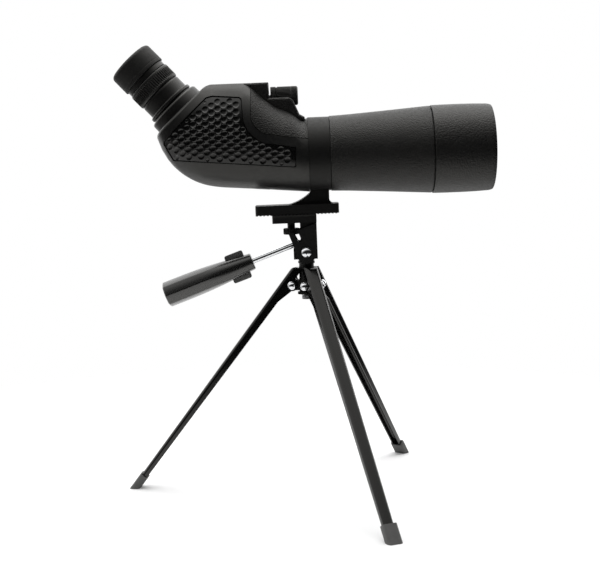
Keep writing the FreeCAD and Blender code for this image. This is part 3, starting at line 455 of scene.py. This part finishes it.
def make_knobs():
    """Knurled focus knob, its end cap, and the camera screw's thumbwheel."""
    lathe(
        "focus_knob_knurled",
        "focus_knob",
        DRIVE,
        [
            (-24.4, 2.0),
            (-7.42, 2.0),
            (-7.42, 7.85),
            (-18.9, 7.85, 0.2),
            (-19.1, 7.2, 0.1),
            (-19.9, 7.2, 0.1),
            (-20.1, 7.85, 0.2),
            (-24.4, 7.85, 0.3),
        ],
        around=42 * 8,
        spacing=0.7,
        shape=ribs(42, 0.5, -24.2, -7.5, 7.85, fade=0.15, sharp=2.0),
    )
    lathe(
        "focus_end_cap_knurled",
        "focus_end_cap",
        DRIVE,
        [
            (-7.4, 2.0),
            (-1.7, 2.0),
            (-1.7, 6.6, 0.6),
            (-2.4, 7.8, 0.6),
            (-7.4, 7.9),
        ],
        around=42 * 8,
        spacing=0.7,
        shape=ribs(42, 0.5, -7.3, -2.6, 7.9, fade=0.15, sharp=2.0),
    )
    lathe(
        "thumbwheel_knurled",
        "thumbwheel",
        WHEEL,
        [
            (14.8, 3.2),
            (20.0, 3.2),
            (20.0, 6.2, 0.4),
            (19.5, 6.8, 0.3),
            (15.3, 6.8, 0.3),
            (14.8, 6.2, 0.4),
        ],
        around=30 * 8,
        spacing=0.7,
        shape=ribs(30, 0.42, 14.9, 19.9, 6.8, fade=0.3, sharp=0.7),
    )


# --- handle ---------------------------------------------------------------------------------------

GRIP_START = 36.3
GRIP_END = 115.5
GRIP_FRONT_RADIUS = 7.0
GRIP_TAPER = 3.75
GRIP_SWELL = 1.35
GRIP_FLATS = 8
FLATNESS = 0.6


def grip_radius(x):
    """Grip's radius along its length: a taper with a gentle swell in the middle."""
    t = (x - GRIP_START) / (GRIP_END - GRIP_START)
    return GRIP_FRONT_RADIUS + GRIP_TAPER * t + GRIP_SWELL * math.sin(math.pi * t)


def make_grip():
    """Faceted grip: eight flats that fade into a round front."""
    length = GRIP_END - GRIP_START
    wedge = 2 * math.pi / GRIP_FLATS

    def facet(x, radius, angle):
        if radius < 5.0:
            return 0.0
        t = (x - GRIP_START) / length
        hollow = smooth_step(t, 0.22, 0.62)
        local = angle % wedge - wedge / 2
        flat = radius * (math.cos(wedge / 2) * 1.004 / math.cos(local) - 1)
        ease = smooth_step(abs(local), wedge * 0.30, wedge * 0.5)
        return flat * hollow * FLATNESS * (1 - 0.25 * ease)

    stations = 16
    rod_end = GRIP_END - 20
    outline = [(GRIP_START + 0.2, 2.5), (rod_end, 2.5), (rod_end, 1.2), (GRIP_END - 0.8, 1.2)]
    outline += [(GRIP_END - 0.8, 6.6, 0.6), (GRIP_END, 7.6, 0.5), (GRIP_END, 9.7, 0.8)]
    for step in range(stations, -1, -1):
        x = GRIP_START + 0.8 + (length - 1.9) * step / stations
        outline.append((x, grip_radius(x)))
    outline.append((GRIP_START, 6.2, 0.7))
    lathe("handle_grip_faceted", "handle_grip", HANDLE, outline, around=256, spacing=1.6, shape=facet)


WING_BACK = 42.0
WING_FRONT = 58.1
WING_REACH = 12.3
WING_ROUND = 1.8
WING_EDGE = [(0.5, -1.5), (0.15, -1.35), (0.0, -1.0), (0.0, 1.0), (0.15, 1.35), (0.5, 1.5)]


def make_wings():
    """Flat wings through the front of the grip, with rounded corners and edges."""
    corners = [
        (WING_BACK, -WING_REACH, WING_ROUND),
        (WING_FRONT, -WING_REACH, WING_ROUND),
        (WING_FRONT, WING_REACH, WING_ROUND),
        (WING_BACK, WING_REACH, WING_ROUND),
    ]
    outline = with_spacing(softened(corners), 1.0)
    verts = []
    for inset, y in WING_EDGE:
        verts += [HANDLE @ Vector((p.x, y, p.y)) for p in inset_loop(outline, inset)]
    count = len(outline)
    last = len(WING_EDGE) - 1
    faces = [tuple(range(count)), tuple(reversed(range(last * count, (last + 1) * count)))]
    for layer in range(last):
        for k in range(count):
            after = (k + 1) % count
            here, there = layer * count, (layer + 1) * count
            faces.append((here + k, there + k, there + after, here + after))
    new_piece("handle_grip_wings", verts, faces, "handle_grip", slot="foot_rubber")


# --- saddle seam ----------------------------------------------------------------------------------

SEAM_LINE = [
    (-40.8, 122.0),
    (-41.0, 113.0),
    (-39.6, 107.2),
    (-35.6, 102.3),
    (-26.7, 98.3),
    (3.0, 93.8),
]
SEAM_WIDTH = 2.0
SEAM_DEPTHS = (18.5, 22.5)


def make_seam_shade_strips():
    """Dark strip of painted shade in the seam between the housing and the saddle cover, on each side, where the
    seam shows only shade.
    """
    corners = [Vector(corner) for corner in SEAM_LINE]
    sides = []
    for index, here in enumerate(corners):
        along = corners[min(index + 1, len(corners) - 1)] - corners[max(index - 1, 0)]
        across = Vector((-along.y, along.x)).normalized() * SEAM_WIDTH / 2
        sides.append((here - across, here + across))
    for name, side in (("right", -1), ("left", 1)):
        verts = []
        for pair in sides:
            for depth in SEAM_DEPTHS:
                verts += [HEAD @ Vector((p.x, side * depth, p.y)) for p in pair]
        faces = [(0, 1, 3, 2), tuple(len(verts) - k for k in (2, 1, 3, 4))]
        for step in range(len(corners) - 1):
            at = step * 4
            for a, b in ((0, 1), (1, 3), (3, 2), (2, 0)):
                faces.append((at + a, at + 4 + a, at + 4 + b, at + b))
        # Each strip is painted shade: a dark sheet standing in for the shadow inside the seam.
        new_piece(f"saddle_seam_shade_{name}", verts, faces, "saddle_cover", slot="inner_black", added=True)


# --- grip panels ----------------------------------------------------------------------------------

PANEL_THICK = 1.0
PANEL_STEP = 1.1
SHOULDER_INSET = 0.4
SHOULDER_DROP = 0.28
LAND_INSET = 0.5
LAND_MARGIN = 0.1
COLUMN_STEP = 5.0
DIMPLE_STEP = 5.8
DIMPLE_RADIUS = 2.72
DIMPLE_DEPTH = 0.82
SMALLEST_DIMPLE = 0.4
BOWL_SHARPNESS = 3.5
BOWL_RINGS = [(0.0, 1), (0.3, 8), (0.55, 14), (0.7, 18), (0.81, 22), (0.91, 26), (1.0, 30)]
PANEL_CORNERS = [
    (-105.6, 80.5),
    (-7.0, 71.3),
    (-5.8, 72.4),
    (-5.8, 87.6),
    (-31.0, 91.8),
    (-47.0, 111.0, 26.0),
    (-47.9, 127.4),
    (-49.6, 129.0),
    (-71.5, 130.9),
    (-76.3, 129.7),
    (-111.9, 95.9),
    (-112.2, 93.9),
]


PANEL_MIDDLE = Vector((-62.0, 88.0))
PULLS = (0.0, 0.01, 0.02, 0.04, 0.08)
CLEAR_OF_HOUSING = 60.0
STEEPEST = 0.25


def panel_loop():
    """Panel's outline with its one hollow curve drawn as an arc, in even steps."""
    loop = []
    for index, corner in enumerate(PANEL_CORNERS):
        start = Vector(PANEL_CORNERS[index - 1][:2])
        end = Vector(corner[:2])
        chord = end - start
        steps = max(2, round(chord.length / PANEL_STEP))
        bulge = 0.0
        if len(corner) == 3:
            bulge = corner[2] - math.sqrt(corner[2] ** 2 - chord.length**2 / 4)
        outward = Vector((chord.y, -chord.x)).normalized()
        for step in range(steps):
            t = step / steps
            loop.append(start.lerp(end, t) - outward * bulge * 4 * t * (1 - t))
    return loop


def inset_loop(loop, distance):
    """Loop moved inwards; it turns anticlockwise."""
    moved = []
    count = len(loop)
    for index, point in enumerate(loop):
        along = (loop[(index + 1) % count] - loop[index - 1]).normalized()
        moved.append(point + Vector((-along.y, along.x)) * distance)
    return moved


def edge_distance(point, loop):
    """Distance from a point to the nearest point of a loop."""
    return min((point - corner).length for corner in loop)


def inside(point, loop):
    """True where a ray to the point's right crosses the loop an odd number of times."""
    hit = False
    for index, here in enumerate(loop):
        before = loop[index - 1]
        if (here.y > point.y) != (before.y > point.y):
            cross = (before.x - here.x) * (point.y - here.y) / (before.y - here.y) + here.x
            hit = hit != (point.x < cross)
    return hit


def dimple(middle, scale):
    """Points (place, height) of a bowl-shaped dimple, in rings from its middle to its rim."""
    points = []
    for share, count in BOWL_RINGS:
        reach = share * DIMPLE_RADIUS * scale
        depth = DIMPLE_DEPTH * scale * (1 - share**BOWL_SHARPNESS)
        for k in range(count):
            angle = 2 * math.pi * (k + 0.5) / count
            points.append((middle + Vector((math.cos(angle), math.sin(angle))) * reach, -depth))
    return points


def panel_surface():
    """Points (a, w, height) and triangles of the dimpled face, shared by both sides."""
    rim = panel_loop()
    shoulder = inset_loop(rim, SHOULDER_INSET)
    land = inset_loop(rim, LAND_INSET)
    points = [(p, -SHOULDER_DROP) for p in rim] + [(p, 0.0) for p in shoulder]
    low = Vector((min(p.x for p in rim), min(p.y for p in rim)))
    high = Vector((max(p.x for p in rim), max(p.y for p in rim)))
    columns = math.ceil((high.x - low.x) / COLUMN_STEP) + 1
    rows = math.ceil((high.y - low.y) / DIMPLE_STEP) + 2
    for column in range(columns):
        for row in range(rows):
            across = column * COLUMN_STEP
            middle = low + Vector((across, (row - 0.5 * (column % 2)) * DIMPLE_STEP))
            scale = min(1.0, (edge_distance(middle, land) - LAND_MARGIN) / DIMPLE_RADIUS)
            if inside(middle, land) and scale > SMALLEST_DIMPLE:
                points += dimple(middle, scale)
    count = len(rim)
    loops = [list(range(count)), list(range(count, 2 * count))]
    edges = [(loop[k], loop[(k + 1) % count]) for loop in loops for k in range(count)]
    flat = [p for p, _ in points]
    made = delaunay_2d_cdt(flat, edges, [loops[0]], 1, 1e-4)
    coords, triangles, origins = made[0], made[2], made[3]
    surface = []
    for coord, origin in zip(coords, origins):
        height = points[origin[0]][1] if origin else 0.0
        surface.append((coord.x, coord.y, height))
    rim_ids = [next(k for k, origin in enumerate(origins) if n in origin) for n in range(count)]
    return surface, [tuple(t) for t in triangles], rim_ids


def curved_face(node, side):
    """Function that finds a point of the CAD panel's outer face and its normal, in the head frame."""
    thing = nodes[node]
    to_head = HEAD.inverted() @ thing.matrix_world
    corners = [to_head @ vertex.co for vertex in thing.data.vertices]
    tree = BVHTree.FromPolygons(corners, [polygon.vertices for polygon in thing.data.polygons])
    inwards = Vector((0, -side, 0))
    far_out = CLEAR_OF_HOUSING * side

    def face_at(a, w):
        aim = Vector((a, w))
        for pull in PULLS:
            tried = aim.lerp(PANEL_MIDDLE, pull)
            hit, out = tree.ray_cast(Vector((tried.x, far_out, tried.y)), inwards)[:2]
            if hit is None or out.y * side < STEEPEST:
                continue
            rise = (out.x * (a - tried.x) + out.z * (w - tried.y)) / out.y
            return Vector((a, hit.y - rise, w)), out
        raise RuntimeError(f"no face at {a:.1f}, {w:.1f}")

    return face_at


def make_panels():
    """Dimpled rubber panels that follow the CAD panels' curved faces."""
    surface, triangles, rim_ids = panel_surface()
    for side, node in ((-1, "grip_panel_right"), (1, "grip_panel_left")):
        face_at = curved_face(node, side)
        feet = [face_at(a, w) for a, w, _ in surface]
        verts = [HEAD @ (foot + out * point[2]) for (foot, out), point in zip(feet, surface)]
        base = len(verts)
        verts += [HEAD @ (feet[k][0] - feet[k][1] * PANEL_THICK) for k in rim_ids]
        count = len(rim_ids)
        faces = list(triangles)
        for k in range(count):
            after = (k + 1) % count
            faces.append((rim_ids[k], base + k, base + after, rim_ids[after]))
        faces.append(tuple(base + k for k in reversed(range(count))))
        if side > 0:
            faces = [tuple(reversed(face)) for face in faces]
        new_piece(f"{node}_dimpled", verts, faces, node, crease=24.0)


# --- stage ----------------------------------------------------------------------------------------

FLOOR_REACH = 0.62
CAMERA_PLACE = (-5.7, -996.5, 295.04)
CAMERA_PITCH = 6.633
CAMERA_ROLL = -0.822
CAMERA_LENS = 71.17
DOME_BRIGHT_SIDE = (-0.32, 0.50, 0.78)
DOME_EDGES = (-0.15, 0.75)
DOME_LEVELS = (0.015, 1.55)
YAW = math.atan2(joints["sunshade_slide"]["axis"][1], joints["sunshade_slide"]["axis"][0])


def make_camera():
    """Camera level with the scope, a metre to its side, a little above it and looking slightly down."""
    pitch = math.radians(CAMERA_PITCH)
    roll = math.radians(CAMERA_ROLL)
    where = Vector(CAMERA_PLACE) * MM
    forward = Vector((0, math.cos(pitch), -math.sin(pitch)))
    right = Vector((1, 0, 0))
    up = right.cross(forward)
    right_rolled = right * math.cos(roll) + up * math.sin(roll)
    up_rolled = up * math.cos(roll) - right * math.sin(roll)
    turn = Matrix((right_rolled, up_rolled, -forward)).transposed().to_4x4()
    axis = Vector(joints["pan"]["pos_m"])
    axis.z = 0
    data = bpy.data.cameras.new("camera")
    data.sensor_width = 36.0
    data.lens = CAMERA_LENS
    data.clip_end = 50.0
    camera = bpy.data.objects.new("camera", data)
    bpy.context.scene.collection.objects.link(camera)
    camera.matrix_world = (
        Matrix.Translation(axis) @ Matrix.Rotation(YAW, 4, "Z") @ Matrix.Translation(where) @ turn
    )
    bpy.context.scene.camera = camera


def area_light(name, place, target, size, power):
    data = bpy.data.lights.new(name, "AREA")
    data.shape = "RECTANGLE"
    data.size, data.size_y = size
    data.energy = power
    light = bpy.data.objects.new(name, data)
    bpy.context.scene.collection.objects.link(light)
    light.location = place
    light.rotation_euler = (Vector(target) - Vector(place)).to_track_quat("-Z", "Y").to_euler()


def make_world():
    """White studio dome: bright above and behind the scope, darker on the camera's side."""
    world = bpy.data.worlds.new("studio")
    bpy.context.scene.world = world
    world.use_nodes = True
    tree = world.node_tree
    seen = tree.nodes["Background"]
    seen.inputs["Color"].default_value = (1.0, 1.0, 1.0, 1.0)
    seen.inputs["Strength"].default_value = 1.0
    lit = tree.nodes.new("ShaderNodeBackground")
    lit.inputs["Color"].default_value = (1.0, 1.0, 1.0, 1.0)
    direction = tree.nodes.new("ShaderNodeTexCoord").outputs["Generated"]
    towards = tree.nodes.new("ShaderNodeVectorMath")
    towards.operation = "DOT_PRODUCT"
    towards.inputs[1].default_value = DOME_BRIGHT_SIDE
    ranged = tree.nodes.new("ShaderNodeMapRange")
    ranged.interpolation_type = "SMOOTHSTEP"
    for name, value in zip(("From Min", "From Max", "To Min", "To Max"), DOME_EDGES + DOME_LEVELS):
        ranged.inputs[name].default_value = value
    mix = tree.nodes.new("ShaderNodeMixShader")
    ray = tree.nodes.new("ShaderNodeLightPath").outputs["Is Camera Ray"]
    tree.links.new(direction, towards.inputs[0])
    tree.links.new(towards.outputs["Value"], ranged.inputs["Value"])
    tree.links.new(ranged.outputs["Result"], lit.inputs["Strength"])
    tree.links.new(ray, mix.inputs["Fac"])
    tree.links.new(lit.outputs["Background"], mix.inputs[1])
    tree.links.new(seen.outputs["Background"], mix.inputs[2])
    tree.links.new(mix.outputs["Shader"], tree.nodes["World Output"].inputs["Surface"])


def make_floor():
    """Pale round floor that fades into the white surroundings."""
    steps = 96
    angles = [2 * math.pi * step / steps for step in range(steps)]
    mesh = bpy.data.meshes.new("floor")
    rim = [(FLOOR_REACH * math.cos(angle), FLOOR_REACH * math.sin(angle), 0) for angle in angles]
    mesh.from_pydata(rim, [], [tuple(range(steps))])
    floor = bpy.data.objects.new("floor", mesh)
    bpy.context.scene.collection.objects.link(floor)
    finish = Finish("floor", (0.96, 0.96, 0.96), 0.9, specular=0.0)
    finish.vary_roughness(finish.noise(40.0), 0.85, 0.95)
    reach = finish.nodes.new("ShaderNodeVectorMath")
    reach.operation = "LENGTH"
    finish.links.new(finish.place, reach.inputs[0])
    solid = finish.spread(reach.outputs["Value"], 1.0, 0.0, FLOOR_REACH * 0.33, FLOOR_REACH * 0.97)
    finish.links.new(solid, finish.shader.inputs["Alpha"])
    floor.data.materials.append(finish.material)


def make_stage():
    """World, floor and lights, shown in plain sRGB."""
    make_world()
    bpy.context.scene.view_settings.view_transform = "Standard"
    make_floor()
    area_light("overhead", (0.0, 0.25, 1.6), (0, 0, 0.2), (1.4, 1.0), 6.0)
    area_light("side_strip", (0.95, 0.70, 0.50), (0, 0, 0.12), (0.07, 0.9), 1.6)


# --- the whole object -----------------------------------------------------------------------------

for node_name, node_object in nodes.items():
    dress(node_object, SLOT_OF[node_name])

make_sunshade()
make_barrel()
make_eyepiece()
make_knobs()
make_grip()
make_wings()
# Dark strips of painted shade inside the saddle seam, on each side.
make_seam_shade_strips()
make_panels()
make_camera()
make_stage()
